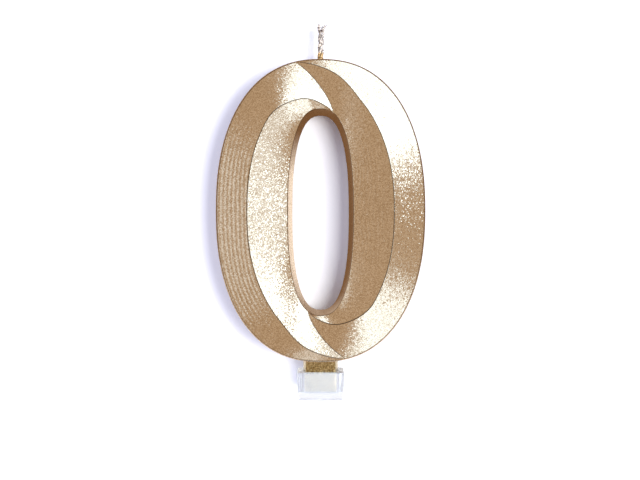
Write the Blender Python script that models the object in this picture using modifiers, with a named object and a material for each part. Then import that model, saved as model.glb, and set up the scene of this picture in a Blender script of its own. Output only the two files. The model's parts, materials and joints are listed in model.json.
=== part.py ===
"""Number birthday candle: a faceted nought cast in wax, its wick, and the plastic pick that holds it.

Metres, +Z up. The origin is the centre of the underside of the pick's cup, where the cake's icing
touches it. The candle's front looks along -Y.
"""

import math

import bmesh
import bpy
from mathutils import Vector

MM = 0.001

# Numeral: outside size, and the hole through it.
NUMERAL_HEIGHT = 70.0 * MM
NUMERAL_WIDTH = 48.5 * MM
OUTLINE_POWER = 2.3  # 2 is an ellipse, and a higher power is squarer
HOLE_HEIGHT = 47.4 * MM
HOLE_WIDTH = 15.1 * MM
HOLE_POWER = 2.5
HOLE_DROP = 0.4 * MM  # the hole's centre sits this far under the numeral's

# Depths from the mid-plane, where the two halves of the mould meet.
RIM_DEPTH = 5.0 * MM
RIDGE_RISE = 2.4 * MM  # the ridges stand this much in front of the rim
VALLEY_DIP = 0.6 * MM
RIM_BEVEL = 0.7 * MM
OUTER_DRAFT = 0.3 * MM
HOLE_DRAFT = 0.95 * MM

# Where the ridges and valleys run, in degrees clockwise from the top. The facets have half-turn
# symmetry: ridge A and the upper valley leave the rim together at RIM_CORNER, the upper valley meets
# ridge B on the hole's edge at HOLE_CORNER, and the lower ones are the same, turned by half a turn.
RIM_CORNER = -9.5
HOLE_CORNER = 7.5
RIDGE_SPAN = 180.0 + HOLE_CORNER - RIM_CORNER
VALLEY_SPAN = HOLE_CORNER - RIM_CORNER
RIDGE_SHARE = 0.565  # how far out from the hole the ridge runs, as a share of the band's width
RIDGE_LEAD_IN = 30.0
RISE_LEAD_IN = 40.0
RIDGE_LEAD_OUT = 38.0
STATION_STEP = 2.4
STATION_CROWDING = 0.5  # sections are this much closer together where the hole turns sharply

# Tang, pick holder and spike.
TANG_WIDTH = 8.1 * MM
TANG_DEPTH = 7.2 * MM
TANG_FACE_INSET = 0.6 * MM
TANG_FOOT = 2.0 * MM
TANG_ROOT = 12.0 * MM
CUP_HEIGHT = 6.4 * MM
CUP_WIDTH = 10.9 * MM
CUP_DEPTH = 10.1 * MM
CUP_TAPER = 0.2 * MM
CUP_CORNER = 1.0 * MM
CUP_FLOOR = 1.7 * MM
SOCKET_GAP = 0.3 * MM
NUMERAL_FOOT = 8.75 * MM
SPIKE_LENGTH = 35.0 * MM
SPIKE_ROOT_WIDTH = 3.6 * MM
SPIKE_NECK_WIDTH = 1.4 * MM
SPIKE_RIB = 1.1 * MM
SPIKE_POINT = 3.0 * MM
SPIKE_END_WIDTH = 0.4 * MM
CUT_OVERSHOOT = 1.0 * MM

# Wick.
WICK_STRANDS = 3
STRAND_RADIUS = 0.34 * MM
WICK_LAY_RADIUS = 0.43 * MM
WICK_PITCH = 6.5 * MM
WICK_SHOWN = 8.9 * MM
WICK_BURIED = 8.5 * MM
WICK_HOLE_GAP = 0.1 * MM
WICK_FORK = 0.6  # the strands part above this share of the wick that shows
WICK_FRAY = 0.55 * MM
WICK_LEAN = 0.35 * MM
STRAND_POINTS = 28

NUMERAL_CENTRE = NUMERAL_FOOT + NUMERAL_HEIGHT / 2
NUMERAL_TOP = NUMERAL_FOOT + NUMERAL_HEIGHT
WICK_FOOT = NUMERAL_TOP - WICK_BURIED
WICK_TIP = NUMERAL_TOP + WICK_SHOWN

for old in list(bpy.data.objects):
    bpy.data.objects.remove(old)

candle = bpy.data.collections.new("number_birthday_candle")
cutters = bpy.data.collections.new("cutters")
bpy.context.scene.collection.children.link(candle)
bpy.context.scene.collection.children.link(cutters)


def material(name, colour, roughness, metallic):
    made = bpy.data.materials.new(name)
    made.use_nodes = True
    shader = made.node_tree.nodes["Principled BSDF"]
    shader.inputs["Base Color"].default_value = (*colour, 1.0)
    shader.inputs["Roughness"].default_value = roughness
    shader.inputs["Metallic"].default_value = metallic
    made.diffuse_color = (*colour, 1.0)
    return made


GOLD = material("gold_lacquered_wax", (0.55, 0.36, 0.19), 0.35, 0.9)
CLEAR = material("frosted_polystyrene", (0.9, 0.91, 0.92), 0.3, 0.0)
COTTON = material("gilt_cotton", (0.4, 0.27, 0.14), 0.6, 0.3)


def place(name, mesh, finish, collection=candle):
    obj = bpy.data.objects.new(name, mesh)
    mesh.materials.append(finish)
    collection.objects.link(obj)
    return obj


def mesh_from(name, bm):
    mesh = bpy.data.meshes.new(name)
    bm.to_mesh(mesh)
    bm.free()
    return mesh


def cutter(name, mesh):
    obj = place(name, mesh, CLEAR, cutters)
    obj.hide_render = True
    obj.display_type = "WIRE"
    return obj


def boolean(obj, other, operation):
    modifier = obj.modifiers.new(other.name, "BOOLEAN")
    modifier.operation = operation
    modifier.object = other
    modifier.solver = "EXACT"


# --- the faceted numeral ---------------------------------------------------------------------------


def on_oval(angle, half_width, half_height, power):
    """The point of a superellipse at this angle, in degrees clockwise from the top."""
    s = math.sin(math.radians(angle))
    c = math.cos(math.radians(angle))
    radius = (abs(s / half_width) ** power + abs(c / half_height) ** power) ** (-1 / power)
    return Vector((radius * s, radius * c))


def outline(angle, inset):
    return on_oval(angle, NUMERAL_WIDTH / 2 - inset, NUMERAL_HEIGHT / 2 - inset, OUTLINE_POWER)


def hole(angle, inset):
    point = on_oval(angle, HOLE_WIDTH / 2 - inset, HOLE_HEIGHT / 2 - inset, HOLE_POWER)
    return point - Vector((0, HOLE_DROP))


def ridge(turned):
    """(share of the band's width, height over the rim) of a ridge, this far round from its start."""
    x = min(turned / RIDGE_LEAD_IN, 1.0)
    near_rim = (1 - x) ** 2 * (1 + 1.2 * x)
    climb = 1 - max(0.0, 1 - turned / RISE_LEAD_IN) ** 2
    left = max(0.0, min((RIDGE_SPAN - turned) / RIDGE_LEAD_OUT, 1.0))
    lead_out = math.sin(math.pi / 2 * left) ** 1.4
    share = RIDGE_SHARE + (1 - RIDGE_SHARE) * near_rim
    return share * lead_out, RIDGE_RISE * climb * lead_out


def valley(turned):
    """The same for a valley, which runs evenly across the band from the rim to the hole."""
    u = turned / VALLEY_SPAN
    return 1 - u, -VALLEY_DIP * math.sin(math.pi * u)


def crossing_section(turned):
    """Where ridge, valley and the other ridge's end lie side by side."""
    return [ridge(turned), valley(turned), ridge(180 + turned)]


def stations(first, last):
    """Angles from first to last, closer together near the top and the bottom."""
    found = [first]
    while True:
        crowd = 1 - STATION_CROWDING * math.cos(math.radians(2 * found[-1]))
        if found[-1] + 1.4 * STATION_STEP * crowd > last:
            return found + [last]
        found.append(found[-1] + STATION_STEP * crowd)


def section_points(angle, lines):
    """One section of the front half, from the parting line outside to the one inside the hole."""
    rim = outline(angle, OUTER_DRAFT + RIM_BEVEL)
    edge = hole(angle, 0)
    points = [
        (outline(angle, 0), 0),
        (outline(angle, OUTER_DRAFT), RIM_DEPTH - RIM_BEVEL),
        (rim, RIM_DEPTH),
    ]
    points += [(edge.lerp(rim, share), RIM_DEPTH + height) for share, height in lines]
    points += [(edge, RIM_DEPTH), (hole(angle, HOLE_DRAFT), 0)]
    return [Vector((flat.x, -depth, NUMERAL_CENTRE + flat.y)) for flat, depth in points]


def loft(bm, sections):
    rows = [[bm.verts.new(point) for point in section] for section in sections]
    for here, there in zip(rows, rows[1:]):
        for i in range(len(here) - 1):
            bm.faces.new((here[i], here[i + 1], there[i + 1], there[i]))


def numeral_mesh():
    """The front half, open at the parting plane: two crossing stretches and two plain ones."""
    bm = bmesh.new()
    for half in (0, 180):
        start = RIM_CORNER + half
        corner = start + VALLEY_SPAN
        crossing = stations(start, corner)
        plain = stations(corner, start + 180)
        loft(bm, [section_points(angle, crossing_section(angle - start)) for angle in crossing])
        loft(bm, [section_points(angle, [ridge(angle - start)]) for angle in plain])
    bmesh.ops.remove_doubles(bm, verts=bm.verts, dist=1e-6)
    bmesh.ops.dissolve_degenerate(bm, edges=bm.edges, dist=1e-6)
    bmesh.ops.recalc_face_normals(bm, faces=bm.faces)
    return mesh_from("wax_body", bm)


def tang_section(grow, z):
    half_width = TANG_WIDTH / 2 + grow
    half_face = half_width - TANG_FACE_INSET
    half_depth = TANG_DEPTH / 2 + grow
    corners = [
        (half_width, 0),
        (half_face, half_depth),
        (-half_face, half_depth),
        (-half_width, 0),
        (-half_face, -half_depth),
        (half_face, -half_depth),
    ]
    return [Vector((x, y, z)) for x, y in corners]


def prism(name, low, high):
    """A solid between two sections with the same number of corners."""
    bm = bmesh.new()
    below = [bm.verts.new(p) for p in low]
    above = [bm.verts.new(p) for p in high]
    count = len(low)
    for i in range(count):
        j = (i + 1) % count
        bm.faces.new((below[i], below[j], above[j], above[i]))
    bm.faces.new(below)
    bm.faces.new(above)
    bmesh.ops.recalc_face_normals(bm, faces=bm.faces)
    return mesh_from(name, bm)


def wick_hole():
    bm = bmesh.new()
    radius = WICK_LAY_RADIUS + STRAND_RADIUS + WICK_HOLE_GAP
    depth = WICK_BURIED + WICK_HOLE_GAP  # below the top, and as much above it
    bmesh.ops.create_cone(
        bm, cap_ends=True, segments=20, radius1=radius, radius2=radius, depth=2 * depth
    )
    bmesh.ops.translate(bm, verts=bm.verts, vec=(0, 0, NUMERAL_TOP))
    return cutter("wick_hole", mesh_from("wick_hole", bm))


wax_body = place("wax_body", numeral_mesh(), GOLD)
halves = wax_body.modifiers.new("back_half", "MIRROR")
halves.use_axis = (False, True, False)
halves.use_clip = True
halves.merge_threshold = 1e-6
tang = cutter("tang", prism("tang", tang_section(0, TANG_FOOT), tang_section(0, TANG_ROOT)))
boolean(wax_body, tang, "UNION")
boolean(wax_body, wick_hole(), "DIFFERENCE")

# --- the wick ---------------------------------------------------------------------------------------


def strand_point(strand, share):
    """A point on a strand's centre line, share 0 at its foot in the wax and 1 at the cut end."""
    z = WICK_FOOT + (WICK_TIP - WICK_FOOT) * share
    shown = max(0.0, (z - NUMERAL_TOP) / WICK_SHOWN)
    angle = 2 * math.pi * (strand / WICK_STRANDS + (z - WICK_FOOT) / WICK_PITCH)
    reach = WICK_LAY_RADIUS + WICK_FRAY * max(0.0, (shown - WICK_FORK) / (1 - WICK_FORK)) ** 2
    lean = WICK_LEAN * shown * shown
    return Vector((lean + reach * math.cos(angle), reach * math.sin(angle), z))


def wick_strand(strand):
    name = f"wick_strand_{strand + 1}"
    curve = bpy.data.curves.new(name, "CURVE")
    curve.dimensions = "3D"
    curve.bevel_depth = STRAND_RADIUS
    curve.bevel_resolution = 2
    curve.use_fill_caps = True
    spline = curve.splines.new("POLY")
    spline.points.add(STRAND_POINTS - 1)
    for i, point in enumerate(spline.points):
        point.co = (*strand_point(strand, i / (STRAND_POINTS - 1)), 1.0)
    return place(name, curve, COTTON)


for number in range(WICK_STRANDS):
    wick_strand(number)

# --- the pick holder --------------------------------------------------------------------------------


def cross_section(width, z):
    """A plus-shaped section of four ribs, which grow thinner towards the point."""
    reach = width / 2
    rib = min(SPIKE_RIB / 2, reach * 0.8)
    corner = [(reach, -rib), (reach, rib), (rib, rib)]
    points = []
    for quarter in range(4):
        c = round(math.cos(quarter * math.pi / 2))
        s = round(math.sin(quarter * math.pi / 2))
        points += [Vector((c * x - s * y, s * x + c * y, z)) for x, y in corner]
    return points


def spike():
    root = cross_section(SPIKE_ROOT_WIDTH, CUP_FLOOR / 2)
    neck = cross_section(SPIKE_NECK_WIDTH, SPIKE_POINT - SPIKE_LENGTH)
    tip = cross_section(SPIKE_END_WIDTH, -SPIKE_LENGTH)
    bm = bmesh.new()
    rows = [[bm.verts.new(p) for p in section] for section in (tip, neck, root)]
    for low, high in zip(rows, rows[1:]):
        for i in range(len(low)):
            j = (i + 1) % len(low)
            bm.faces.new((low[i], low[j], high[j], high[i]))
    bm.faces.new(rows[0])
    bm.faces.new(rows[-1])
    bmesh.ops.recalc_face_normals(bm, faces=bm.faces)
    return cutter("spike", mesh_from("spike", bm))


def cup_mesh():
    bm = bmesh.new()
    bmesh.ops.create_cube(bm, size=1.0)
    bmesh.ops.scale(bm, vec=(CUP_WIDTH, CUP_DEPTH, CUP_HEIGHT), verts=bm.verts)
    bmesh.ops.translate(bm, vec=(0, 0, CUP_HEIGHT / 2), verts=bm.verts)
    for vert in bm.verts:
        if vert.co.z < CUP_HEIGHT / 2:
            vert.co.x -= math.copysign(CUP_TAPER, vert.co.x)
            vert.co.y -= math.copysign(CUP_TAPER, vert.co.y)
    upright = [e for e in bm.edges if abs(e.verts[0].co.z - e.verts[1].co.z) > CUP_HEIGHT / 2]
    bmesh.ops.bevel(
        bm, geom=upright, offset=CUP_CORNER, segments=4, profile=0.5, affect="EDGES"
    )
    return mesh_from("pick_holder", bm)


socket = cutter(
    "socket",
    prism(
        "socket",
        tang_section(SOCKET_GAP, CUP_FLOOR),
        tang_section(SOCKET_GAP, CUP_HEIGHT + CUT_OVERSHOOT),
    ),
)
pick_holder = place("pick_holder", cup_mesh(), CLEAR)
boolean(pick_holder, spike(), "UNION")
boolean(pick_holder, socket, "DIFFERENCE")
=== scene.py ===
# %% [markdown]
# # A number birthday candle, made visible
#
# The real object is a faceted nought cast in wax and lacquered champagne gold, with a twisted
# cotton wick in its top and a frosted plastic pick under it, which holds it on a cake. The packed
# model already has the right sizes and the sliding joint between pick and candle. This script
# loads it as a fixed frame and makes each piece again with the fine surface that the eye sees.
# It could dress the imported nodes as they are, but their creases and edges are too coarse for gold
# lacquer, which shows every small slope as a light or a dark patch.

# %% Load the frame
import json
import math

import bmesh
import bpy
from mathutils import Matrix, Vector

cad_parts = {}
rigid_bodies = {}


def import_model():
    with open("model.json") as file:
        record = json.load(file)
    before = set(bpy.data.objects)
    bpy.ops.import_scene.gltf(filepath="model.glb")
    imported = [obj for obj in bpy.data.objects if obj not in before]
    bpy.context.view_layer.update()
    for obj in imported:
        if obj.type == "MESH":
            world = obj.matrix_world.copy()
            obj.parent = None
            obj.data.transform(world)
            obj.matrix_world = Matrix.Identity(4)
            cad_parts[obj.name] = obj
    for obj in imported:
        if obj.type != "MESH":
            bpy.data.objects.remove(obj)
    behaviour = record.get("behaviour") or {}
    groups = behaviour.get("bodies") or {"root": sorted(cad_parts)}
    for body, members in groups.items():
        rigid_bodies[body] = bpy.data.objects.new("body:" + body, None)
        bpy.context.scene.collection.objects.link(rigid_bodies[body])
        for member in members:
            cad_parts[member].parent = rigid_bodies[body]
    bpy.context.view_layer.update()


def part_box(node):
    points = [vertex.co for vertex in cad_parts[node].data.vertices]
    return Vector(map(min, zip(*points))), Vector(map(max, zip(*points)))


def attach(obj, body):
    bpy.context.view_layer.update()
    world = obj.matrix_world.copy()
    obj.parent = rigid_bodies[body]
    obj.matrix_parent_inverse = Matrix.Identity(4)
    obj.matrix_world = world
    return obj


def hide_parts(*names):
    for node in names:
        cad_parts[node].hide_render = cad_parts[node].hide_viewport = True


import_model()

MM = 0.001

# %% [markdown]
# ## Working by hand, in code
#
# An operator acts on whatever is selected, and the loaded nodes arrive selected. So each piece
# starts from nothing selected, and a modifier is applied as soon as it has done its work.


# %% Selecting and applying
def deselect():
    """Leaves nothing selected and nothing active."""
    if bpy.context.mode != "OBJECT":
        bpy.ops.object.mode_set(mode="OBJECT")
    for obj in bpy.context.view_layer.objects:
        obj.select_set(False)


def take(*objs):
    """Selects only these objects, and makes the first one active."""
    deselect()
    for obj in objs:
        obj.select_set(True)
    bpy.context.view_layer.objects.active = objs[0]
    return objs[0]


def apply_modifier(obj, kind, **settings):
    """Adds a modifier with these settings and applies it to the mesh."""
    take(obj)
    modifier = obj.modifiers.new(kind.title(), kind)
    for name, value in settings.items():
        setattr(modifier, name, value)
    bpy.ops.object.modifier_apply(modifier=modifier.name)


def place_in_mesh(obj):
    """Puts the object at the origin, unturned and unscaled, with its place in its mesh."""
    take(obj)
    bpy.ops.object.transform_apply(location=True, rotation=True, scale=True)


def choose(obj, vertex=None, edge=None, face=None):
    """In edit mode, selects the elements that a test says yes to. The test gets bmesh elements."""
    take(obj)
    bpy.ops.object.mode_set(mode="EDIT")
    bpy.ops.mesh.select_mode(type="VERT" if vertex else "EDGE" if edge else "FACE")
    bpy.ops.mesh.select_all(action="DESELECT")
    mesh = bmesh.from_edit_mesh(obj.data)
    elements = mesh.verts if vertex else mesh.edges if edge else mesh.faces
    test = vertex or edge or face
    for element in elements:
        element.select_set(test(element))
    mesh.select_flush_mode()
    bmesh.update_edit_mesh(obj.data)


deselect()

# %% [markdown]
# ## The numeral's shape
#
# The nought was carved as a master and moulded: an oval outline, a long oval hole, and a band
# between them with four facets. Two ridges each start at the rim, run half way round and die out
# on the hole's edge. At the top and at the bottom one ridge starts beside the other one's end, and
# the facets between them meet in a short valley. The outlines could be drawn as curves. They are
# superellipses here, because one short formula then gives every point of a section of the band.

# %% Outline and hole
wax_low, wax_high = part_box("wax_body")
NUMERAL_HEIGHT = 70.0 * MM
NUMERAL_WIDTH = wax_high.x - wax_low.x
NUMERAL_TOP = wax_high.z
NUMERAL_CENTRE = NUMERAL_TOP - NUMERAL_HEIGHT / 2
NUMERAL_FOOT = NUMERAL_TOP - NUMERAL_HEIGHT
OUTLINE_POWER = 2.3
HOLE_HEIGHT = 47.4 * MM
HOLE_WIDTH = 15.1 * MM
HOLE_POWER = 2.5
HOLE_DROP = 0.4 * MM
OUTER_DRAFT = 0.15 * MM
HOLE_DRAFT = 0.95 * MM
RIM_DEPTH = 5.0 * MM
RIM_BEVEL = 0.25 * MM


def on_oval(angle, half_width, half_height, power):
    """The point of a superellipse at this angle, in degrees clockwise from the top."""
    s = math.sin(math.radians(angle))
    c = math.cos(math.radians(angle))
    radius = (abs(s / half_width) ** power + abs(c / half_height) ** power) ** (-1 / power)
    return Vector((radius * s, radius * c))


def outline(angle, inset):
    return on_oval(angle, NUMERAL_WIDTH / 2 - inset, NUMERAL_HEIGHT / 2 - inset, OUTLINE_POWER)


def hole(angle, inset):
    point = on_oval(angle, HOLE_WIDTH / 2 - inset, HOLE_HEIGHT / 2 - inset, HOLE_POWER)
    return point - Vector((0, HOLE_DROP))


print("numeral", round(NUMERAL_WIDTH / MM, 2), "x", round(NUMERAL_HEIGHT / MM, 2), "mm")

# %% Ridges and valleys
RIM_CORNER = -9.5  # degrees clockwise from the top, where the first ridge leaves the rim
VALLEY_SPAN = 17.0  # degrees
RIDGE_SPAN = 180.0 + VALLEY_SPAN
RIDGE_RISE = 2.4 * MM
RIDGE_SHARE = 0.565  # how far out from the hole it runs, as a share of the band's width
RIDGE_LEAD_IN = 30.0  # degrees that it takes to come in from the rim
LEAD_IN_FULLNESS = 1.2
RISE_LEAD_IN = 40.0  # and to reach its height
RIDGE_LEAD_OUT = 38.0  # and to die out on the hole's edge
SHARE_FALL = 1.4  # a higher power brings it to the hole's edge sooner
RISE_FALL = 0.9


def ridge(turned):
    """(share of the band's width, height over the rim) of a ridge, this far round from its start."""
    x = min(turned / RIDGE_LEAD_IN, 1.0)
    near_rim = (1 - x) ** 2 * (1 + LEAD_IN_FULLNESS * x)
    climb = 1 - max(0.0, 1 - turned / RISE_LEAD_IN) ** 2
    left = max(0.0, min((RIDGE_SPAN - turned) / RIDGE_LEAD_OUT, 1.0))
    dying = math.sin(math.pi / 2 * left)
    share = RIDGE_SHARE + (1 - RIDGE_SHARE) * near_rim
    return share * dying**SHARE_FALL, RIDGE_RISE * climb * dying**RISE_FALL


def valley(starting, ending):
    """Where the facet inside a ridge that starts meets the facet outside a ridge that ends."""
    inner_slope = starting[1] / starting[0]
    outer_slope = ending[1] / (1 - ending[0])
    share = outer_slope / (inner_slope + outer_slope)
    return share, share * inner_slope


def crossing_lines(turned):
    """Where ridge, valley and the other ridge's end lie side by side."""
    starting = ridge(turned)
    ending = ridge(180 + turned)
    return [starting, valley(starting, ending), ending]


def plain_lines(turned):
    return [ridge(turned)]


print("middle of a valley", round(crossing_lines(VALLEY_SPAN / 2)[1][1] / MM, 2), "mm over the rim")

# %% [markdown]
# ## The numeral's mesh
#
# Extruding and bevelling can't follow a ridge that drifts across the band, so the numeral is made
# another way: flat grids are added as primitives, and every vertex of a grid is moved to its place
# on the section. A grid's rows run round the nought and its columns run from the outer parting
# line, over the chamfer and the facets, to the parting line in the hole. Beside every crease two
# narrow columns keep the facets flat and the crease tight, as on a polished mould. Four numbers
# are kept on each vertex, for the finish to read later.

# %% Columns across the band
CREASE = 0.13 * MM  # width of the narrow cells beside a crease
CREASE_SHARE = 0.12  # and the most they take of a facet that narrows to nothing
FACET_CELLS = 6
WALL_CELLS = 3


def strip_shares(width, cells):
    """How far along a strip its columns are, 0 to 1, with two narrow cells at each end."""
    narrow = min(CREASE / width, CREASE_SHARE) if width > 1e-7 else CREASE_SHARE
    inner = [2 * narrow + (1 - 4 * narrow) * i / cells for i in range(cells + 1)]
    return [0.0, narrow] + inner + [1 - narrow, 1.0]


def section(angle, lines):
    """Corner points across the front half: parting line, chamfer, facets, hole edge, parting line."""
    rim = outline(angle, OUTER_DRAFT + RIM_BEVEL)
    edge = hole(angle, 0)
    corners = [
        (outline(angle, 0), 0),
        (outline(angle, OUTER_DRAFT), RIM_DEPTH - RIM_BEVEL),
        (rim, RIM_DEPTH),
    ]
    corners += [(edge.lerp(rim, share), RIM_DEPTH + height) for share, height in lines]
    corners += [(edge, RIM_DEPTH), (hole(angle, HOLE_DRAFT), 0)]
    return [Vector((flat.x, -depth, NUMERAL_CENTRE + flat.y)) for flat, depth in corners]


def columns(angle, lines, cuts):
    """(point, on a crease, on an edge, distance from the rim, cut depth) of each column."""
    corners = section(angle, lines)
    made = []
    for number, (here, there) in enumerate(zip(corners, corners[1:])):
        facet = 2 <= number < len(corners) - 2
        cut = cuts.get(number, 0.0)
        shares = strip_shares((there - here).length, FACET_CELLS if facet else WALL_CELLS)
        for share in shares[1 if made else 0 :]:
            point = here.lerp(there, share)
            crease = share in (0.0, 1.0) and 0 < number + share < len(corners) - 1
            edge = crease or (number == len(corners) - 2 and share == 1.0)
            made.append((point, crease, edge, (point - corners[2]).length, cut))
    return made


print("columns", len(columns(90, plain_lines(90), {})), "across the band")

# %% Cutter's lines
OUTER_FACET = 2  # a facet's place in its section
INNER_FACET = 3
CUTS = {0: {INNER_FACET: 0.5}, 180: {OUTER_FACET: 1.0}}  # how deep, on each half's facets
CUTS_START = 28  # degrees round from a ridge's start
CUTS_END = 150
CUTS_FADE = 22


def cut_fade(turned):
    """How clear the cutter's lines are, this far round from a ridge's start, from 0 to 1."""
    return max(0.0, min((turned - CUTS_START) / CUTS_FADE, (CUTS_END - turned) / CUTS_FADE, 1.0))


print("cutter's lines over", CUTS_END - CUTS_START, "degrees")

# %% Wrap the grids
ROW_STEP = 1.0  # degrees
CROSSING_STEP = 0.5
MARKS = ("crease", "edge_line", "from_rim", "cut_lines")  # numbers kept on each vertex


def wrapped_grid(name, first, last, step, lines_at, start, cuts):
    """A primitive grid whose vertices are moved onto the sections between two angles."""
    rows = round((last - first) / step)
    angles = [first + (last - first) * i / rows for i in range(rows + 1)]
    sections = [columns(angle, lines_at(angle - start), cuts) for angle in angles]
    across = len(sections[0]) - 1
    deselect()
    bpy.ops.mesh.primitive_grid_add(x_subdivisions=across, y_subdivisions=rows, size=2)
    grid = bpy.context.object
    grid.name = name
    for mark in MARKS:
        grid.data.attributes.new(mark, "FLOAT", "POINT")
    layers = [grid.data.attributes[mark].data for mark in MARKS]
    for vertex in grid.data.vertices:
        column = round((vertex.co.x + 1) / 2 * across)
        row = round((vertex.co.y + 1) / 2 * rows)
        point, on_crease, on_edge, distance, cut = sections[row][column]
        depth = cut * cut_fade(angles[row] - start)
        for layer, value in zip(layers, (on_crease, on_edge, distance / MM, depth)):
            layer[vertex.index].value = float(value)
        vertex.co = point
    return grid


stretches = []
for half in (0, 180):
    start = RIM_CORNER + half
    corner = start + VALLEY_SPAN
    stretches.append(
        wrapped_grid("crossing", start, corner, CROSSING_STEP, crossing_lines, start, {})
    )
    stretches.append(
        wrapped_grid("plain", corner, start + 180, ROW_STEP, plain_lines, start, CUTS[half])
    )
numeral = take(*stretches)
bpy.ops.object.join()
numeral.name = "numeral"
print("grids joined", len(numeral.data.vertices), "vertices")

# %% Close the front half and soften its creases
MERGE = 0.001 * MM

choose(numeral, vertex=lambda v: True)
bpy.ops.mesh.remove_doubles(threshold=MERGE)
bpy.ops.mesh.dissolve_degenerate(threshold=MERGE)
bpy.ops.object.mode_set(mode="OBJECT")
crease = numeral.data.attributes["crease"].data
on_crease = {v.index for v in numeral.data.vertices if crease[v.index].value > 0.5}
choose(numeral, vertex=lambda v: v.index in on_crease)
bpy.ops.mesh.vertices_smooth(factor=1.0, repeat=1)
print("softened", len(on_crease), "crease vertices")

# %% Mirror it into both halves of the mould
deselect()
apply_modifier(
    numeral, "MIRROR", use_axis=(False, True, False), use_clip=True, merge_threshold=MERGE
)
choose(numeral, vertex=lambda v: True)
bpy.ops.mesh.normals_make_consistent(inside=False)
deselect()
print("numeral", len(numeral.data.polygons), "faces")

# %% [markdown]
# ## Tang and wick hole
#
# Under the nought the mould leaves a short block, the tang, which pushes into the pick. It is a box
# whose sides bulge to the parting line, so that it leaves the mould. More rows of the grids could
# have shaped it, but a box with bevelled edges joined on by a union keeps its corners crisp. The
# wick's hole is cut out of the top, inside a low collar of wax that crept up the wick.

# %% Tang
TANG_WIDTH = 8.1 * MM
TANG_DEPTH = 7.2 * MM
TANG_FACE_INSET = 0.6 * MM
TANG_ROOT = NUMERAL_FOOT + 3.25 * MM
TANG_FOOT = wax_low.z
TANG_EDGE = 0.18 * MM
SHARP_EDGE = 0.3  # radians


def box_at(name, size, centre):
    """A cube primitive of this size at this place, with its scale applied."""
    deselect()
    bpy.ops.mesh.primitive_cube_add(size=1, location=centre, scale=size)
    obj = bpy.context.object
    obj.name = name
    place_in_mesh(obj)
    return obj


tang = box_at(
    "tang",
    (TANG_WIDTH, TANG_DEPTH, TANG_ROOT - TANG_FOOT),
    (0, 0, (TANG_ROOT + TANG_FOOT) / 2),
)
choose(tang, face=lambda f: True)
bpy.ops.mesh.bisect(plane_co=(0, 0, 0), plane_no=(0, 1, 0))
choose(tang, vertex=lambda v: abs(v.co.y) > TANG_DEPTH / 4)
bpy.ops.transform.resize(value=(1 - 2 * TANG_FACE_INSET / TANG_WIDTH, 1, 1))
choose(tang, edge=lambda e: e.calc_face_angle() > SHARP_EDGE)
bpy.ops.mesh.bevel(offset=TANG_EDGE, segments=2)
deselect()
apply_modifier(numeral, "BOOLEAN", operation="UNION", object=tang, solver="EXACT")
bpy.data.objects.remove(tang)
print("tang joined", len(numeral.data.polygons), "faces")

# %% Wax collar
COLLAR_RADIUS = 1.1 * MM
COLLAR_LIP = 0.98 * MM
COLLAR_HEIGHT = 0.35 * MM
COLLAR_SUNK = 0.6 * MM
COLLAR_EDGE = 0.05 * MM
ROUND_SIDES = 40

deselect()
bpy.ops.mesh.primitive_cylinder_add(
    vertices=ROUND_SIDES,
    radius=COLLAR_RADIUS,
    depth=COLLAR_HEIGHT + COLLAR_SUNK,
    location=(0, 0, NUMERAL_TOP + (COLLAR_HEIGHT - COLLAR_SUNK) / 2),
)
collar = bpy.context.object
place_in_mesh(collar)
choose(collar, vertex=lambda v: v.co.z > NUMERAL_TOP)
bpy.ops.transform.resize(value=(COLLAR_LIP / COLLAR_RADIUS, COLLAR_LIP / COLLAR_RADIUS, 1))
choose(collar, face=lambda f: f.normal.z > 0.9)
bpy.ops.mesh.bevel(offset=COLLAR_EDGE, segments=2)
deselect()
apply_modifier(numeral, "BOOLEAN", operation="UNION", object=collar, solver="EXACT")
bpy.data.objects.remove(collar)
print("collar joined", len(numeral.data.polygons), "faces")

# %% Wick hole
WICK_HOLE_RADIUS = 0.87 * MM
WICK_HOLE_DEPTH = 8.6 * MM

deselect()
bpy.ops.mesh.primitive_cylinder_add(
    vertices=ROUND_SIDES, radius=WICK_HOLE_RADIUS, depth=2 * WICK_HOLE_DEPTH, location=(0, 0, NUMERAL_TOP)
)
drill = bpy.context.object
place_in_mesh(drill)
apply_modifier(numeral, "BOOLEAN", operation="DIFFERENCE", object=drill, solver="EXACT")
bpy.data.objects.remove(drill)
print("wick hole cut", len(numeral.data.polygons), "faces")

# %% Shade the numeral
SMOOTH_ANGLE = math.radians(40)

take(numeral)
bpy.ops.object.shade_smooth_by_angle(angle=SMOOTH_ANGLE)
apply_modifier(numeral, "WEIGHTED_NORMAL", mode="FACE_AREA", keep_sharp=True)
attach(numeral, "candle")
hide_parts("wax_body")
print(numeral.name, "rides on the candle")

# %% [markdown]
# ## The wick
#
# A candle wick is cotton yarn twisted in three strands, each of them several fine yarns. It could
# be one cylinder with a bump pattern, but its outline would be too smooth. Each strand here is a
# bundle of curves: every yarn winds round its strand while the strand winds round the wick, which
# is how rope is laid. At the cut end the strands part and their yarns fray.

# %% Strand paths
strand_low, strand_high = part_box("wick_strand_1")
STRANDS = 3
STRAND_RADIUS = 0.34 * MM
WICK_LAY_RADIUS = 0.43 * MM
WICK_PITCH = 6.5 * MM
WICK_SHOWN = 8.9 * MM
WICK_BURIED = 8.5 * MM
WICK_FORK = 0.6  # the share of its height where the strands begin to part
WICK_FRAY = 0.55 * MM
WICK_LEAN = 0.35 * MM
WICK_FOOT = NUMERAL_TOP - WICK_BURIED
WICK_TIP = NUMERAL_TOP + WICK_SHOWN


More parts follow.
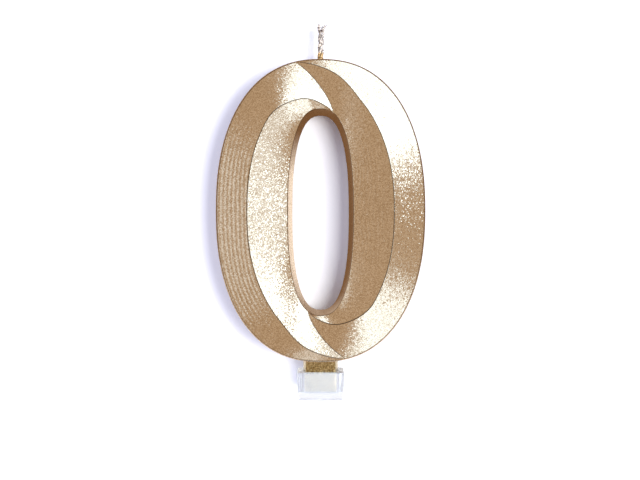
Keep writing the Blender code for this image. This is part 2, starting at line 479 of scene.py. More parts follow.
def strand_point(strand, z):
    """A point on a strand's centre line."""
    shown = max(0.0, (z - NUMERAL_TOP) / WICK_SHOWN)
    angle = 2 * math.pi * (strand / STRANDS + (z - WICK_FOOT) / WICK_PITCH)
    reach = WICK_LAY_RADIUS + WICK_FRAY * max(0.0, (shown - WICK_FORK) / (1 - WICK_FORK)) ** 2
    lean = WICK_LEAN * shown * shown
    return Vector((lean + reach * math.cos(angle), reach * math.sin(angle), z))


print("wick from", round(WICK_FOOT / MM, 1), "to", round(WICK_TIP / MM, 1), "mm")
print("packed strand from", round(strand_low.z / MM, 1), "to", round(strand_high.z / MM, 1), "mm")

# %% Yarns
YARNS = 6
YARN_RADIUS = 0.115 * MM
YARN_LAY = STRAND_RADIUS - YARN_RADIUS
YARN_PITCH = 2.6 * MM
YARN_POINTS = 64
YARN_SIDES = 3  # bevel resolution, for ten sides
YARN_STAGGER = 0.17  # of a turn, from one strand to the next
FLARE_SHARE = 0.25  # of the wick's height, over which a yarn flares out


def yarn_points(strand, yarn, top, flare):
    """A yarn's points up its strand, with the cut end flaring out of the bundle."""
    points = []
    for i in range(YARN_POINTS):
        z = WICK_FOOT + (top - WICK_FOOT) * i / (YARN_POINTS - 1)
        centre = strand_point(strand, z)
        loose = max(0.0, (z - top) / WICK_SHOWN / FLARE_SHARE + 1) ** 2
        angle = 2 * math.pi * (yarn / YARNS + (z - WICK_FOOT) / YARN_PITCH + strand * YARN_STAGGER)
        reach = YARN_LAY + flare * loose
        points.append(centre + Vector((math.cos(angle), math.sin(angle), 0)) * reach)
    return points


def yarn_curve(points):
    """A path primitive through these points, as a tube with filled ends."""
    deselect()
    bpy.ops.curve.primitive_nurbs_path_add()
    obj = bpy.context.object
    curve = obj.data
    curve.splines.clear()
    spline = curve.splines.new("POLY")
    spline.points.add(len(points) - 1)
    for slot_point, point in zip(spline.points, points):
        slot_point.co = (*point, 1.0)
    curve.bevel_depth = YARN_RADIUS
    curve.bevel_resolution = YARN_SIDES
    curve.use_fill_caps = True
    bpy.ops.object.convert(target="MESH")
    return bpy.context.object


print("yarns", STRANDS * YARNS, "of", YARN_POINTS, "points")

# %% Twist the strands
YARN_TOP_GAP = 0.12 * MM
YARN_TOP_SPREAD = 0.9 * MM
YARN_FLARE = 0.16 * MM
FLARE_INWARD = 0.2  # the share of yarns that lean in and not out


def hashed(*numbers):
    """The same share between 0 and 1 every run: the digits of a sine, far behind the point."""
    return math.sin(sum(n * (12.9898 + 65.2 * i) for i, n in enumerate(numbers, 1))) * 43758.5 % 1


strands = []
for strand in range(STRANDS):
    yarns = []
    for yarn in range(YARNS):
        top = WICK_TIP - YARN_TOP_GAP - YARN_TOP_SPREAD * hashed(strand, yarn)
        flare = YARN_FLARE * (hashed(yarn, strand, 3) - FLARE_INWARD)
        yarns.append(yarn_curve(yarn_points(strand, yarn, top, flare)))
    piece = take(*yarns)
    bpy.ops.object.join()
    piece.name = f"wick_yarns_{strand + 1}"
    choose(piece, vertex=lambda v: True)
    bpy.ops.mesh.remove_doubles(threshold=MERGE)
    bpy.ops.mesh.normals_make_consistent(inside=False)
    place_in_mesh(piece)
    bpy.ops.object.shade_smooth_by_angle(angle=SMOOTH_ANGLE)
    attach(piece, "candle")
    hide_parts(f"wick_strand_{strand + 1}")
    strands.append(piece)
    print(piece.name, len(piece.data.polygons), "faces")

# %% [markdown]
# ## The pick
#
# The pick is one injection moulding of clear polystyrene: a small square cup with rounded corners,
# and under it a spike of four thin ribs that tapers to a point. The cup could be extruded up from
# its floor, but it is easier to bevel a solid block and then cut the tang's own section out of it
# with a gap all round. The spike is two crossed blades, joined to the block before it is cut.

# %% Cup
CUP_HEIGHT = 6.4 * MM
CUP_WIDTH = 10.9 * MM
CUP_DEPTH = 10.1 * MM
CUP_TAPER = 0.2 * MM
CUP_CORNER = 1.0 * MM
CUP_FLOOR = 1.7 * MM
CUP_EDGE = 0.2 * MM
SOCKET_GAP = 0.3 * MM

cup = box_at("pick", (CUP_WIDTH, CUP_DEPTH, CUP_HEIGHT), (0, 0, CUP_HEIGHT / 2))
choose(cup, vertex=lambda v: v.co.z < CUP_HEIGHT / 2)
bpy.ops.transform.resize(value=(1 - 2 * CUP_TAPER / CUP_WIDTH, 1 - 2 * CUP_TAPER / CUP_DEPTH, 1))
choose(cup, edge=lambda e: abs(e.verts[0].co.z - e.verts[1].co.z) > CUP_HEIGHT / 2)
bpy.ops.mesh.bevel(offset=CUP_CORNER, segments=8)
choose(cup, face=lambda f: abs(f.normal.z) > 0.9)
bpy.ops.mesh.bevel(offset=CUP_EDGE, segments=3)
deselect()
print("cup block", len(cup.data.polygons), "faces")

# %% Spike
SPIKE_ROOT_WIDTH = 3.6 * MM
SPIKE_NECK_WIDTH = 1.4 * MM
SPIKE_RIB = 1.1 * MM
SPIKE_POINT = 3.0 * MM
SPIKE_END_WIDTH = 0.4 * MM
SPIKE_END_RIB = 0.32 * MM
pick_low, pick_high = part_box("pick_holder")
SPIKE_TIP = pick_low.z
SPIKE_EDGE = 0.12 * MM

print("packed pick from", round(pick_low.z / MM, 1), "to", round(pick_high.z / MM, 1), "mm")


def blade(along_x):
    """One blade of the spike: a box, its foot narrowed at the neck and again at the point."""
    root = CUP_FLOOR / 2
    neck = SPIKE_TIP + SPIKE_POINT
    size = (SPIKE_ROOT_WIDTH, SPIKE_RIB) if along_x else (SPIKE_RIB, SPIKE_ROOT_WIDTH)
    made = box_at("blade", (*size, root - neck), (0, 0, (root + neck) / 2))
    narrow = SPIKE_NECK_WIDTH / SPIKE_ROOT_WIDTH
    choose(made, vertex=lambda v: v.co.z < (root + neck) / 2)
    bpy.ops.transform.resize(value=(narrow, 1, 1) if along_x else (1, narrow, 1))
    choose(made, face=lambda f: f.normal.z < -0.9)
    bpy.ops.mesh.extrude_region_move(TRANSFORM_OT_translate={"value": (0, 0, -SPIKE_POINT)})
    point = SPIKE_END_WIDTH / SPIKE_NECK_WIDTH
    rib = SPIKE_END_RIB / SPIKE_RIB
    bpy.ops.transform.resize(value=(point, rib, 1) if along_x else (rib, point, 1))
    choose(made, edge=lambda e: abs(e.verts[0].co.z - e.verts[1].co.z) > SPIKE_POINT / 2)
    bpy.ops.mesh.bevel(offset=SPIKE_EDGE, segments=2)
    deselect()
    return made


for along_x in (True, False):
    made = blade(along_x)
    apply_modifier(cup, "BOOLEAN", operation="UNION", object=made, solver="EXACT")
    bpy.data.objects.remove(made)
print("cup and spike", len(cup.data.polygons), "faces")

# %% Socket
SOCKET_CLEAR = 1.0 * MM

socket = box_at(
    "socket",
    (
        TANG_WIDTH + 2 * SOCKET_GAP,
        TANG_DEPTH + 2 * SOCKET_GAP,
        CUP_HEIGHT + SOCKET_CLEAR - CUP_FLOOR,
    ),
    (0, 0, (CUP_HEIGHT + SOCKET_CLEAR + CUP_FLOOR) / 2),
)
choose(socket, face=lambda f: True)
bpy.ops.mesh.bisect(plane_co=(0, 0, 0), plane_no=(0, 1, 0))
choose(socket, vertex=lambda v: abs(v.co.y) > TANG_DEPTH / 4)
bpy.ops.transform.resize(value=(1 - 2 * TANG_FACE_INSET / (TANG_WIDTH + 2 * SOCKET_GAP), 1, 1))
deselect()
apply_modifier(cup, "BOOLEAN", operation="DIFFERENCE", object=socket, solver="EXACT")
bpy.data.objects.remove(socket)
take(cup)
bpy.ops.object.shade_smooth_by_angle(angle=SMOOTH_ANGLE)
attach(cup, "pick")
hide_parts("pick_holder")
print("pick", len(cup.data.polygons), "faces")

# %% [markdown]
# ## Finishes
#
# Every finish is a small tree of nodes. Colours are written as the hex values that a paint chart
# gives, and one function turns them to the linear values that the renderer adds up.


# %% Colours and nodes
def linear(code):
    """A colour chart's hex value as linear red, green, blue and alpha."""
    shares = [int(code[i : i + 2], 16) / 255 for i in (1, 3, 5)]
    return (*[s / 12.92 if s <= 0.04045 else ((s + 0.055) / 1.055) ** 2.4 for s in shares], 1.0)


def node(tree, kind, inputs=None, **settings):
    """Adds a node. An input is a value, or the output socket that it is linked to."""
    made = tree.nodes.new(kind)
    for name, value in settings.items():
        setattr(made, name, value)
    for key, value in (inputs or {}).items():
        if isinstance(value, bpy.types.NodeSocket):
            tree.links.new(value, made.inputs[key])
        else:
            made.inputs[key].default_value = value
    return made


def new_material(name):
    """A material with an empty tree and a principled shader already on its output."""
    material = bpy.data.materials.new(name)
    material.use_nodes = True
    tree = material.node_tree
    tree.nodes.clear()
    shader = node(tree, "ShaderNodeBsdfPrincipled")
    node(tree, "ShaderNodeOutputMaterial", {"Surface": shader.outputs[0]})
    return material, tree, shader


def finish(obj, material):
    obj.data.materials.clear()
    obj.data.materials.append(material)


# %% [markdown]
# ### Champagne gold lacquer on wax
#
# The wax is sprayed with a lacquer full of fine metal flakes. They lie nearly flat, so a facet
# mirrors the studio as satin metal, and the few that are tipped further give sparks. Every sharp
# edge and crease gets a dark brown drawn line, which is painted shade, and on the tang the coat is
# thinner and mottled. Faint lines about a millimetre apart run along the band where the master was
# cut. An image could hold all of this, but a pattern worked out in the object's own millimetres
# has no seams, and its scale stays right.

# %% Mould lines
CUT_PITCH = 1.05  # mm, as from_rim is
CUT_DEPTH = 0.010 * MM

lacquer, tree, shader = new_material("champagne_gold_lacquer")
from_rim = node(tree, "ShaderNodeAttribute", attribute_name="from_rim")
lines = node(
    tree,
    "ShaderNodeMath",
    {0: from_rim.outputs["Fac"], 1: 2 * math.pi / CUT_PITCH},
    operation="MULTIPLY",
)
wave = node(tree, "ShaderNodeMath", {0: lines.outputs[0]}, operation="SINE")
cut_lines = node(tree, "ShaderNodeAttribute", attribute_name="cut_lines")
cut_wave = node(
    tree, "ShaderNodeMath", {0: wave.outputs[0], 1: cut_lines.outputs["Fac"]}, operation="MULTIPLY"
)
relief = node(
    tree,
    "ShaderNodeBump",
    {"Height": cut_wave.outputs[0], "Distance": CUT_DEPTH, "Strength": 1.0},
)
print("mould lines", CUT_PITCH, "mm apart")

# %% Flakes
FLAKE_SIZE = 0.2 * MM  # real flakes are finer, and are drawn as coarse as they need to show
FLAKE_TIP = 0.1  # how far every flake may tip
FLAKE_SPARK = 0.15  # and how much further a rare one does
FLAKE_RARITY = 6.0  # a higher power makes such flakes rarer

place = node(tree, "ShaderNodeTexCoord")
flakes = node(
    tree, "ShaderNodeTexVoronoi", {"Vector": place.outputs["Object"], "Scale": 1 / FLAKE_SIZE}
)
tip = node(
    tree,
    "ShaderNodeVectorMath",
    {0: flakes.outputs["Color"], 1: (0.5, 0.5, 0.5)},
    operation="SUBTRACT",
)
chance = node(tree, "ShaderNodeSeparateColor", {"Color": flakes.outputs["Color"]})
rare = node(
    tree, "ShaderNodeMath", {0: chance.outputs[2], 1: FLAKE_RARITY}, operation="POWER"
)
amount = node(
    tree,
    "ShaderNodeMath",
    {0: rare.outputs[0], 1: FLAKE_SPARK, 2: FLAKE_TIP},
    operation="MULTIPLY_ADD",
)
tip_scaled = node(
    tree, "ShaderNodeVectorMath", {0: tip.outputs[0], "Scale": amount.outputs[0]}, operation="SCALE"
)
tipped = node(
    tree,
    "ShaderNodeVectorMath",
    {0: relief.outputs["Normal"], 1: tip_scaled.outputs[0]},
    operation="ADD",
)
normal = node(tree, "ShaderNodeVectorMath", {0: tipped.outputs[0]}, operation="NORMALIZE")
tree.links.new(normal.outputs[0], shader.inputs["Normal"])
print("flakes", round(FLAKE_SIZE / MM, 2), "mm across")

# %% Where the lacquer is thin, and painted shade on the edges
CUT_TONE = 0.08  # how much thinner it lies on a mould line
EDGE_SPREAD = 0.4  # a lower power makes the painted shade lines on the edges wider
TANG_BLEND = 0.3 * MM

edge_line = node(tree, "ShaderNodeAttribute", attribute_name="edge_line")
# Painted shade: creases and edges are darkened to a dark brown line, on top of the mould lines' tone.
on_edge = node(
    tree, "ShaderNodeMath", {0: edge_line.outputs["Fac"], 1: EDGE_SPREAD}, operation="POWER"
)
cut_tone_and_edge_shade = node(
    tree,
    "ShaderNodeMath",
    {0: cut_wave.outputs[0], 1: CUT_TONE, 2: on_edge.outputs[0]},
    operation="MULTIPLY_ADD",
    use_clamp=True,
)
level = node(tree, "ShaderNodeSeparateXYZ", {0: place.outputs["Object"]})
on_tang = node(
    tree,
    "ShaderNodeMapRange",
    {"Value": level.outputs[2], 1: NUMERAL_FOOT + TANG_BLEND, 2: NUMERAL_FOOT - TANG_BLEND},
)
print("tang's coat starts at", round(NUMERAL_FOOT / MM, 2), "mm")

# %% Lacquer
LACQUER_LOW = "#D0B694"  # a flake that lies deep in the lacquer
LACQUER_HIGH = "#FAE6CB"  # and one at its surface
TANG_LOW = "#93793F"  # the tang's thinner coat shows more of the brown wax
TANG_HIGH = "#EBDBAE"
EDGE_SHADE_COLOUR = "#3A2412"  # painted shade along creases and edges: a dark brown line
LACQUER_ROUGHNESS = 0.17

flake_tone = node(tree, "ShaderNodeMix", {"Factor": chance.outputs[1]}, data_type="RGBA")
flake_tone.inputs[6].default_value = linear(LACQUER_LOW)
flake_tone.inputs[7].default_value = linear(LACQUER_HIGH)
tang_tone = node(tree, "ShaderNodeMix", {"Factor": chance.outputs[0]}, data_type="RGBA")
tang_tone.inputs[6].default_value = linear(TANG_LOW)
tang_tone.inputs[7].default_value = linear(TANG_HIGH)
coats = node(
    tree,
    "ShaderNodeMix",
    {"Factor": on_tang.outputs[0], 6: flake_tone.outputs[2], 7: tang_tone.outputs[2]},
    data_type="RGBA",
)
colour = node(
    tree,
    "ShaderNodeMix",
    {"Factor": cut_tone_and_edge_shade.outputs[0], 6: coats.outputs[2]},
    data_type="RGBA",
)
# the painted shade colour for creases and edges
colour.inputs[7].default_value = linear(EDGE_SHADE_COLOUR)
tree.links.new(colour.outputs[2], shader.inputs["Base Color"])
shader.inputs["Metallic"].default_value = 1.0
shader.inputs["Roughness"].default_value = LACQUER_ROUGHNESS
finish(numeral, lacquer)
print(lacquer.name, len(tree.nodes), "nodes")

# %% [markdown]
# ### Gilt cotton
#
# The wick was sprayed along with the wax, so the cotton is tan and gold with dark gaps and sparks,
# and its foot is a deeper tan where molten wax climbed. Specks of chance tone on the yarns are enough,
# because the yarns themselves are real shapes.

# %% Cotton
COTTON_DARK = "#3F281D"
COTTON_LIGHT = "#FFF0DE"
WAXED_DARK = "#6E4722"
WAXED_LIGHT = "#E9C486"
WAXED_TOP = NUMERAL_TOP + 2.1 * MM  # how far molten wax climbed
WAXED_EDGE = 0.3 * MM
SPECK_SIZE = 0.3 * MM
COTTON_ROUGHNESS = 0.45
COTTON_GILT = 0.25  # how metallic it is

cotton, tree, shader = new_material("gilt_cotton_yarn")
place = node(tree, "ShaderNodeTexCoord")
specks = node(
    tree, "ShaderNodeTexVoronoi", {"Vector": place.outputs["Object"], "Scale": 1 / SPECK_SIZE}
)
speck = node(tree, "ShaderNodeSeparateColor", {"Color": specks.outputs["Color"]})
tone = node(tree, "ShaderNodeMix", {"Factor": speck.outputs[0]}, data_type="RGBA")
tone.inputs[6].default_value = linear(COTTON_DARK)
tone.inputs[7].default_value = linear(COTTON_LIGHT)
waxed_tone = node(tree, "ShaderNodeMix", {"Factor": speck.outputs[0]}, data_type="RGBA")
waxed_tone.inputs[6].default_value = linear(WAXED_DARK)
waxed_tone.inputs[7].default_value = linear(WAXED_LIGHT)
height = node(tree, "ShaderNodeSeparateXYZ", {0: place.outputs["Object"]})
dry = node(
    tree,
    "ShaderNodeMapRange",
    {"Value": height.outputs[2], 1: WAXED_TOP - WAXED_EDGE, 2: WAXED_TOP + WAXED_EDGE},
)
yarn_tone = node(
    tree,
    "ShaderNodeMix",
    {"Factor": dry.outputs[0], 6: waxed_tone.outputs[2], 7: tone.outputs[2]},
    data_type="RGBA",
)
tree.links.new(yarn_tone.outputs[2], shader.inputs["Base Color"])
shader.inputs["Roughness"].default_value = COTTON_ROUGHNESS
shader.inputs["Metallic"].default_value = COTTON_GILT
for piece in strands:
    finish(piece, cotton)
print(cotton.name, "on", len(strands), "strands")

# %% [markdown]
# ### Frosted polystyrene
#
# Clear polystyrene, moulded against a matt tool: most of the light goes through and some of it is
# scattered, so the cup is nearly white and the tang behind its wall is a pale grey block. Its
# shadow is faint. Light bent by the plastic would need very many samples, so shadow rays go
# straight through it instead and lose a share of their light.

# %% Polystyrene
PLASTIC_COLOUR = "#EDF2F8"
PLASTIC_CLEAR = 0.8
PLASTIC_ROUGHNESS = 0.22
PLASTIC_IOR = 1.59
PLASTIC_SHADE = 0.2  # the share of the lamps' light that its shadow loses

plastic, tree, shader = new_material("frosted_polystyrene")
shader.inputs["Base Color"].default_value = linear(PLASTIC_COLOUR)
shader.inputs["Transmission Weight"].default_value = PLASTIC_CLEAR
shader.inputs["Roughness"].default_value = PLASTIC_ROUGHNESS
shader.inputs["IOR"].default_value = PLASTIC_IOR
rays = node(tree, "ShaderNodeLightPath")
let_by = node(
    tree,
    "ShaderNodeMath",
    {0: rays.outputs["Is Shadow Ray"], 1: 1 - PLASTIC_SHADE},
    operation="MULTIPLY",
)
clear = node(tree, "ShaderNodeBsdfTransparent")
lit = node(
    tree,
    "ShaderNodeMixShader",
    {0: let_by.outputs[0], 1: shader.outputs[0], 2: clear.outputs[0]},
)
tree.links.new(lit.outputs[0], tree.nodes["Material Output"].inputs["Surface"])
finish(cup, plastic)
print(plastic.name, "on", cup.name)

# %% [markdown]
# ## Camera, lights and stage
#
# The candle lies on its back on white paper and is seen straight from above its face. In the
# model it stands up, so the camera looks level along +Y and the paper stands behind the candle.

# %% Camera
CAMERA_DISTANCE = 225.0 * MM
CAMERA_HEIGHT = 36.95 * MM
CAMERA_SIDE = -0.14 * MM
FIELD_OF_VIEW = 36.94  # degrees
SENSOR_WIDTH = 36.0  # mm

deselect()
bpy.ops.object.camera_add(
    location=(CAMERA_SIDE, -CAMERA_DISTANCE, CAMERA_HEIGHT), rotation=(math.pi / 2, 0, 0)
)
camera = bpy.context.object
camera.data.sensor_width = SENSOR_WIDTH
camera.data.lens = SENSOR_WIDTH / 2 / math.tan(math.radians(FIELD_OF_VIEW / 2))
camera.data.clip_start = 0.01
bpy.context.scene.camera = camera
print("lens", round(camera.data.lens, 1), "mm")

# %% [markdown]
# ### Lamps
#
# A metal facet shows only what it mirrors, so every lamp is placed by the direction that a facet
# mirrors: so many degrees off the view axis, at a clock angle from straight up. Big soft lamps
# stand on the right and above, and the left stays dim, which makes one facet of each pair white
# and the other brown. The same lamps stand behind the candle, so that its back is lit as its front
# is. One big window of light would be simpler, but it would light both facets of a pair alike.

# %% Softboxes
LAMP_DISTANCE = 0.6  # metres


def from_candle(off_axis, clock, behind):
    """The direction this many degrees off the view axis, at this clock angle from straight up."""
    a = math.radians(off_axis)
    c = math.radians(clock)
    ahead = math.cos(a) if behind else -math.cos(a)
    return Vector((math.sin(a) * math.sin(c), ahead, math.sin(a) * math.cos(c)))


def softbox(name, off_axis, clock, wide, high, radiance, colour, behind=False):
    """An area lamp that spans this many degrees, turned to face the middle of the candle."""
    direction = from_candle(off_axis, clock, behind)
    deselect()
    bpy.ops.object.light_add(type="AREA")
    lamp = bpy.context.object
    lamp.name = name
    lamp.location = direction * LAMP_DISTANCE + Vector((0, 0, NUMERAL_CENTRE))
    upward = from_candle(off_axis + 1, clock, behind) - direction
    z_axis = direction.normalized()
    y_axis = (upward - upward.dot(z_axis) * z_axis).normalized()
    x_axis = y_axis.cross(z_axis)
    turn = Matrix((x_axis, y_axis, z_axis)).transposed().to_4x4()
    lamp.matrix_world = Matrix.Translation(lamp.location) @ turn
    lamp.data.shape = "RECTANGLE"
    lamp.data.size = 2 * LAMP_DISTANCE * math.tan(math.radians(wide / 2))
    lamp.data.size_y = 2 * LAMP_DISTANCE * math.tan(math.radians(high / 2))
    lamp.data.energy = radiance * math.pi * lamp.data.size * lamp.data.size_y
    lamp.data.color = linear(colour)[:3]
    lamp.visible_camera = False
    return lamp


print("lamps stand", LAMP_DISTANCE, "m from the candle")

# %% Lamps for the gold
SOFTBOXES = {
    # name: (degrees off the view axis, clock angle, width, height, radiance)
    "key_right": (22, 97, 18, 14, 0.68),
    "key_high": (20, 60, 15, 17, 2.0),
    "high_right": (41, 59, 19, 32, 2.8),
    "top_inner": (17, 8, 20, 14, 1.0),
    "top_right": (45, 32, 20, 34, 2.0),
    "top": (48, 8, 24, 46, 2.0),
    "low_right": (39, 138, 33, 26, 1.8),
    "low": (60, 182, 24, 24, 0.6),
    "left": (50, 265, 52, 12, 0.7),
    "left_strip": (35, 268, 30, 3, 0.35),
}
LAMP_COLOUR = "#BBDDFF"

gold_lamps = []
for name, aim in SOFTBOXES.items():
    gold_lamps.append(softbox(name, *aim, LAMP_COLOUR))
    gold_lamps.append(softbox(f"{name}_behind", *aim, LAMP_COLOUR, behind=True))
print("lamps for the gold", len(gold_lamps))

# %% [markdown]
# ### The room
#
# A room looks different to each kind of ray. The view past the paper is white. Metal mirrors a dim
# warm room, so that a facet turned away from the lamps is brown. Light that has gone through the
# plastic meets a cool grey, so that the spike's edges show against white. Everything else is lit
# by faint bluish air. Real walls round the candle would give every kind of ray the same tone.

# %% World
DIM_ROOM = "#BFAC97"
AIR = "#D8DCFF"
AIR_STRENGTH = 0.65
PAST_THE_PAPER = "#FFFFFF"
THROUGH_PLASTIC = "#C6CED8"

world = bpy.data.worlds.new("studio")
bpy.context.scene.world = world
world.use_nodes = True
tree = world.node_tree
tree.nodes.clear()
path = node(tree, "ShaderNodeLightPath")
dim = node(tree, "ShaderNodeBackground", {"Color": linear(DIM_ROOM), "Strength": 1.0})
air = node(tree, "ShaderNodeBackground", {"Color": linear(AIR), "Strength": AIR_STRENGTH})
pale = node(tree, "ShaderNodeBackground", {"Color": linear(PAST_THE_PAPER), "Strength": 1.0})
through = node(
    tree, "ShaderNodeBackground", {"Color": linear(THROUGH_PLASTIC), "Strength": 1.0}
)
mirrored = node(
    tree,
    "ShaderNodeMixShader",
    {0: path.outputs["Is Glossy Ray"], 1: air.outputs[0], 2: dim.outputs[0]},
)
refracted = node(
    tree,
    "ShaderNodeMixShader",
    {0: path.outputs["Is Transmission Ray"], 1: mirrored.outputs[0], 2: through.outputs[0]},
)
shown = node(
    tree,
    "ShaderNodeMixShader",
    {0: path.outputs["Is Camera Ray"], 1: refracted.outputs[0], 2: pale.outputs[0]},
)
node(tree, "ShaderNodeOutputWorld", {"Surface": shown.outputs[0]})
bpy.context.scene.view_settings.view_transform = "Standard"
print(world.name, len(tree.nodes), "nodes")

# %% [markdown]
# ### White paper
#
# The paper is just behind the rim, so that the candle seems to lie on it. It is clear from behind,
# and it is open behind the band, or the facets on the back would mirror it. A boolean would leave
# its cutter's walls in such an opening, so the sheet is a grid wrapped into three rings, with an
# island of paper that shows through the numeral's hole. To a mirror ray the paper glows brown or
# white by where it is. This is a painted reflection, and its brown is painted shade, so the gold's
# side walls and the tang mirror these tones.

# %% Sheet of paper
PAPER_GAP = 0.3 * MM
BACKDROP_Y = RIM_DEPTH + PAPER_GAP
BACKDROP_SIZE = 1.2  # metres
BACKDROP_POWER = 8
WINDOW_INSET = 1.0 * MM
ISLAND_MARGIN = 0.7 * MM
NEAR_MARGIN = 1.5 * MM
RING_POINTS = 120


def on_window(angle):
    return outline(angle, WINDOW_INSET)


def on_near_edge(angle):
    return outline(angle, -NEAR_MARGIN)


def on_far_edge(angle):
    return on_oval(angle, BACKDROP_SIZE / 2, BACKDROP_SIZE / 2, BACKDROP_POWER)


RINGS = (on_window, on_near_edge, on_far_edge)

deselect()
bpy.ops.mesh.primitive_grid_add(x_subdivisions=2, y_subdivisions=RING_POINTS, size=2)
backdrop = bpy.context.object
backdrop.name = "backdrop"
for vertex in backdrop.data.vertices:
    ring = RINGS[round(vertex.co.x + 1)]
    point = ring(180 * (vertex.co.y + 1))
    vertex.co = (point.x, BACKDROP_Y, NUMERAL_CENTRE + point.y)
print("paper rings", len(RINGS))

# %% Island of paper
deselect()
bpy.ops.mesh.primitive_circle_add(vertices=RING_POINTS, radius=1, fill_type="NGON")
island = bpy.context.object
for vertex in island.data.vertices:
    point = hole(360 * vertex.index / RING_POINTS, -ISLAND_MARGIN)
    vertex.co = (point.x, BACKDROP_Y, NUMERAL_CENTRE + point.y)
take(backdrop, island)
bpy.ops.object.join()
choose(backdrop, vertex=lambda v: True)
bpy.ops.mesh.remove_doubles(threshold=MERGE)
choose(backdrop, face=lambda f: f.normal.y > 0)
bpy.ops.mesh.flip_normals()
deselect()
print("paper", len(backdrop.data.polygons), "faces")


# %% One-sided paper
PAPER_WHITE = "#F4F4F6"


def one_sided_paper(name):
    """White paper that is clear from behind, and the glow of painted reflection that it shows to the
    gold.
    """
    material, tree, shader = new_material(name)
    shader.inputs["Base Color"].default_value = linear(PAPER_WHITE)
    shader.inputs["Roughness"].default_value = 1.0
    shader.inputs["Specular IOR Level"].default_value = 0.0
    side = node(tree, "ShaderNodeNewGeometry")
    clear = node(tree, "ShaderNodeBsdfTransparent")
    rays = node(tree, "ShaderNodeLightPath")
    glow = node(tree, "ShaderNodeEmission")
    facing = node(
        tree,
        "ShaderNodeMixShader",
        {0: rays.outputs["Is Glossy Ray"], 1: shader.outputs[0], 2: glow.outputs[0]},
    )
    one_sided = node(
        tree,
        "ShaderNodeMixShader",
        {0: side.outputs["Backfacing"], 1: facing.outputs[0], 2: clear.outputs[0]},
    )
    tree.links.new(one_sided.outputs[0], tree.nodes["Material Output"].inputs["Surface"])
    return material, tree, glow


def fade(tree, axis, start, end, low=0.0):
    """A node that climbs from a low value to 1 between two places along an axis of the paper."""
    place = node(tree, "ShaderNodeTexCoord")
    spot = node(tree, "ShaderNodeSeparateXYZ", {0: place.outputs["Object"]})
    return node(
        tree,
        "ShaderNodeMapRange",
        {"Value": spot.outputs[axis], "From Min": start, "From Max": end, "To Min": low},
    )


print("paper is", PAPER_WHITE)

# %% Paper away from the gold
# Painted reflection: the gold mirrors this glow. It is pale below the numeral and brown as painted shade
# above.
PALE_GLOW = "#FFF6EE"
FAR_SHADE_GLOW = "#A0866C"
TANG_FADE = (12 * MM, 10 * MM)  # heights: the paper is pale to the tang, below the numeral

paper, tree, glow = one_sided_paper("matt_white_paper_painted_reflection")
below_numeral = fade(tree, "Z", *TANG_FADE)
tone = node(tree, "ShaderNodeMix", {"Factor": below_numeral.outputs[0]}, data_type="RGBA")
tone.inputs[6].default_value = linear(FAR_SHADE_GLOW)
tone.inputs[7].default_value = linear(PALE_GLOW)
tree.links.new(tone.outputs[2], glow.inputs["Color"])
print(paper.name, len(tree.nodes), "nodes")

# %% Paper near the gold
# Painted shade in the reflection: brown on the right and at the top, pale on the left and paler at the
# foot.
NEAR_SHADE_GLOW = "#77593E"
NEAR_STRENGTH = 1.2
LEFT_FADE = (2 * MM, -4 * MM)
TOP_FADE = (62 * MM, 52 * MM)
FOOT_FADE = (20 * MM, 30 * MM)
FOOT_SHARE = 0.6  # how pale it stays below that

near_paper, tree, glow = one_sided_paper("paper_near_the_gold_painted_shade")
leftward = fade(tree, "X", *LEFT_FADE)
below_top = fade(tree, "Z", *TOP_FADE)
above_foot = fade(tree, "Z", *FOOT_FADE, FOOT_SHARE)
middle = node(
    tree,
    "ShaderNodeMath",
    {0: below_top.outputs[0], 1: above_foot.outputs[0]},
    operation="MULTIPLY",
)
left_side = node(
    tree,
    "ShaderNodeMath",
    {0: leftward.outputs[0], 1: middle.outputs[0]},
    operation="MULTIPLY",
)
tone = node(tree, "ShaderNodeMix", {"Factor": left_side.outputs[0]}, data_type="RGBA")
tone.inputs[6].default_value = linear(NEAR_SHADE_GLOW)
tone.inputs[7].default_value = linear(PALE_GLOW)
tree.links.new(tone.outputs[2], glow.inputs["Color"])
glow.inputs["Strength"].default_value = NEAR_STRENGTH
print(near_paper.name, len(tree.nodes), "nodes")

# %% Paper on the sheet
finish(backdrop, paper)
backdrop.data.materials.append(near_paper)
paper_middle = Vector((0, BACKDROP_Y, NUMERAL_CENTRE))
near_faces = 0
for polygon in backdrop.data.polygons:
    is_near = (polygon.center - paper_middle).length < NUMERAL_HEIGHT
    polygon.material_index = 1 if is_near else 0
    near_faces += is_near
print("paper near the gold on", near_faces, "faces")

# %% [markdown]
# ### Floor
#
# A pale floor lies just under the pick's point, so that a view from above has a ground that takes
# the candle's shadow. Only the camera sees it, so it throws no light on the candle, and it glows a
# little to be as white as the paper.

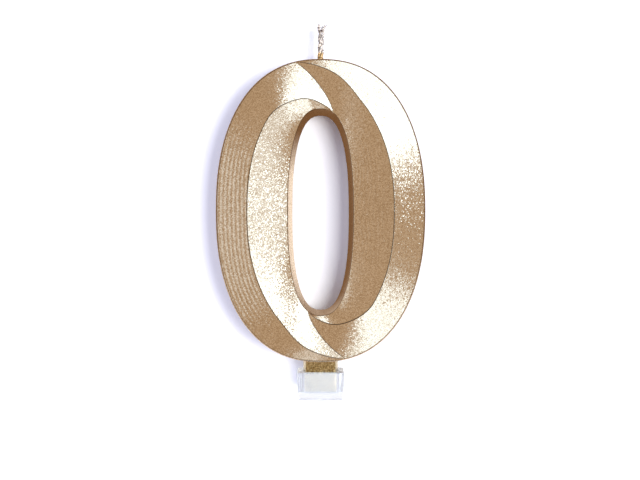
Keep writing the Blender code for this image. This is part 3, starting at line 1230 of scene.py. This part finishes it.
# %% Floor
FLOOR_SIZE = 3.0  # metres
FLOOR_GAP = 0.5 * MM
FLOOR_COLOUR = "#EDEDE6"
FLOOR_GLOW = "#FFF8EA"
FLOOR_GLOW_STRENGTH = 0.42

deselect()
bpy.ops.mesh.primitive_plane_add(size=FLOOR_SIZE, location=(0, 0, SPIKE_TIP - FLOOR_GAP))
floor = bpy.context.object
floor.name = "floor"
floor_paint, tree, shader = new_material("pale_floor")
shader.inputs["Base Color"].default_value = linear(FLOOR_COLOUR)
shader.inputs["Roughness"].default_value = 0.9
shader.inputs["Emission Color"].default_value = linear(FLOOR_GLOW)
shader.inputs["Emission Strength"].default_value = FLOOR_GLOW_STRENGTH
finish(floor, floor_paint)
for ray in ("visible_diffuse", "visible_glossy", "visible_transmission", "visible_shadow"):
    setattr(floor, ray, False)
print("floor", round((SPIKE_TIP - FLOOR_GAP) / MM, 1), "mm")

# %% [markdown]
# ### Which lamp lights what
#
# The gold's lamps would burn the paper out, so they light only the gold. The paper, the floor and
# the pick have their own key lamp on the right and a weak fill on the left, which throw the
# shadows. A flag of black card beside each lamp would do the same in a real studio.


# %% Light linking
def linked(name, objs):
    """A collection for a lamp's light linking. It holds objects that are also in the scene."""
    collection = bpy.data.collections.new(name)
    for obj in objs:
        collection.objects.link(obj)
    return collection


paper_lamp = softbox("paper_lamp", 25, 95, 23, 23, 20.0, "#FFFFFF")
paper_fill = softbox("paper_fill", 58, 268, 30, 30, 7.0, "#EBEEFF")
pale_things = linked("pale_things", [backdrop, floor, cup, *strands])
paper_and_pick = linked("paper_and_pick", [backdrop, floor, cup])
paper_lamp.light_linking.receiver_collection = pale_things
paper_fill.light_linking.receiver_collection = paper_and_pick
gold_things = linked("gold_things", [numeral, *strands])
shade_makers = linked("shade_makers", [numeral, cup, *strands])
for lamp in (paper_lamp, paper_fill):
    lamp.light_linking.blocker_collection = shade_makers
for lamp in gold_lamps:
    lamp.light_linking.receiver_collection = gold_things
print("lamps linked", len(gold_lamps) + 2)
